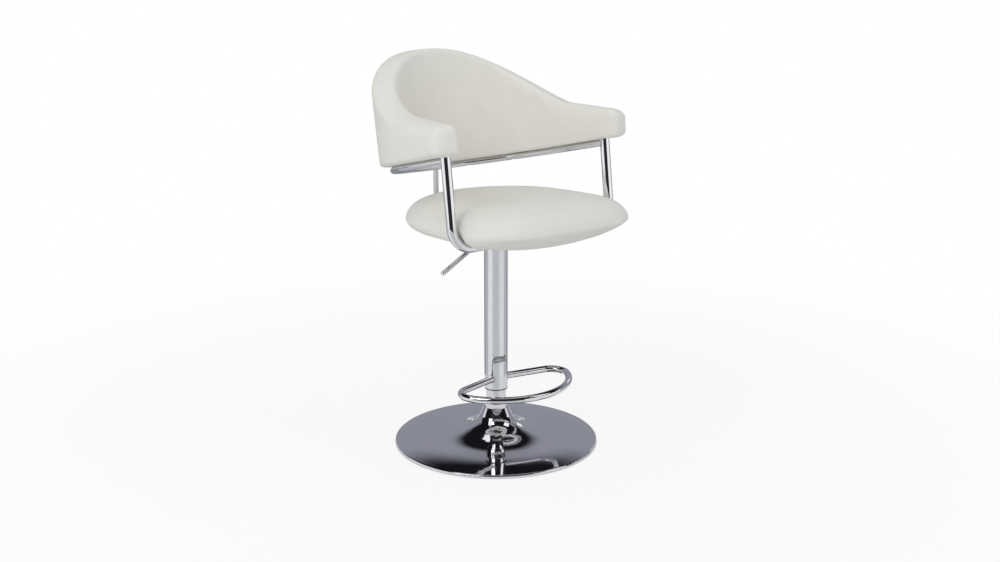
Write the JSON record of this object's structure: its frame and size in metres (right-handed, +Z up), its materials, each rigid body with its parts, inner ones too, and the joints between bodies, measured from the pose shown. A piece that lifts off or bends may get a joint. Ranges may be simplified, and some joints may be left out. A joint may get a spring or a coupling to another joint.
{
  "type": "adjustable swivel stool",
  "caption": "Chrome swivel stool: round trumpet base, gas-lift column with footrest, cushioned seat and a padded wrap-around back with arms on a bent tube frame.",
  "frame": {"origin": "on the floor, at the centre of the base below the column's axis", "axes": "+Z up along the column, -Y the way the sitter faces, -X the sitter's right, where the lever is"},
  "size_m": [0.5466, 0.584, 0.9152],
  "materials": {
    "rubber": "matte",
    "ballast": "matte",
    "chrome": "polished",
    "steel": "satin",
    "black_steel": "satin",
    "black_plastic": "matte",
    "dust_cloth": "matte",
    "plywood": "matte",
    "leatherette": "satin"
  },
  "bodies": {
    "base": {"floor_ring": "rubber", "ballast_plate": "ballast", "base_shell": "chrome", "base_hub": "steel", "hub_screws": "steel", "base_collar": "chrome", "stand_tube": "chrome", "tube_end_disc": "steel", "lower_race": "steel", "guide_bush": "black_plastic"},
    "rod": {"bearing_balls": "steel", "upper_race": "steel", "piston_rod": "steel", "rod_clip": "steel", "piston": "black_plastic"},
    "upper": {"cylinder": "black_steel", "cylinder_gland": "steel", "cover_tube": "chrome", "cover_bush": "black_plastic", "tube_cap": "black_plastic", "footrest": "chrome", "taper_hub": "black_steel", "mount_plate": "black_steel", "lever_bracket": "black_steel", "lever_pin": "steel", "plate_bolts": "steel", "frame_bolts": "steel", "tee_nuts": "steel", "dust_cover": "dust_cloth", "seat_board": "plywood", "seat_cushion": "leatherette", "front_frame": "chrome", "frame_tabs": "chrome", "upright_caps": "black_plastic", "rail": "chrome", "rear_upright": "chrome", "pad_screws": "steel", "back_board": "plywood", "back_pad": "leatherette"},
    "lever": {"lever": "chrome"},
    "release": {"release_button": "steel"}
  },
  "joints": [
    {"name": "swivel", "type": "hinge", "parent": "base", "child": "rod", "pos_m": [0, 0, 0.03], "axis": [0, 0, 1], "continuous": true},
    {"name": "lift", "type": "slide", "parent": "rod", "child": "upper", "axis": [0, 0, 1], "range_m": [0, 0.2]},
    {"name": "lever_pivot", "type": "hinge", "parent": "upper", "child": "lever", "pos_m": [-0.02819, -0.01026, 0.508], "axis": [-0.342, 0.9397, 0], "range_deg": [0, 7], "stiffness_Nm_per_rad": 20},
    {"name": "release_press", "type": "slide", "parent": "upper", "child": "release", "axis": [0, 0, -1], "range_m": [0, 0.004]}
  ],
  "couplings": [
    {"joint": "release_press", "follows": "lever_pivot", "m_per_rad": 0.03}
  ]
}
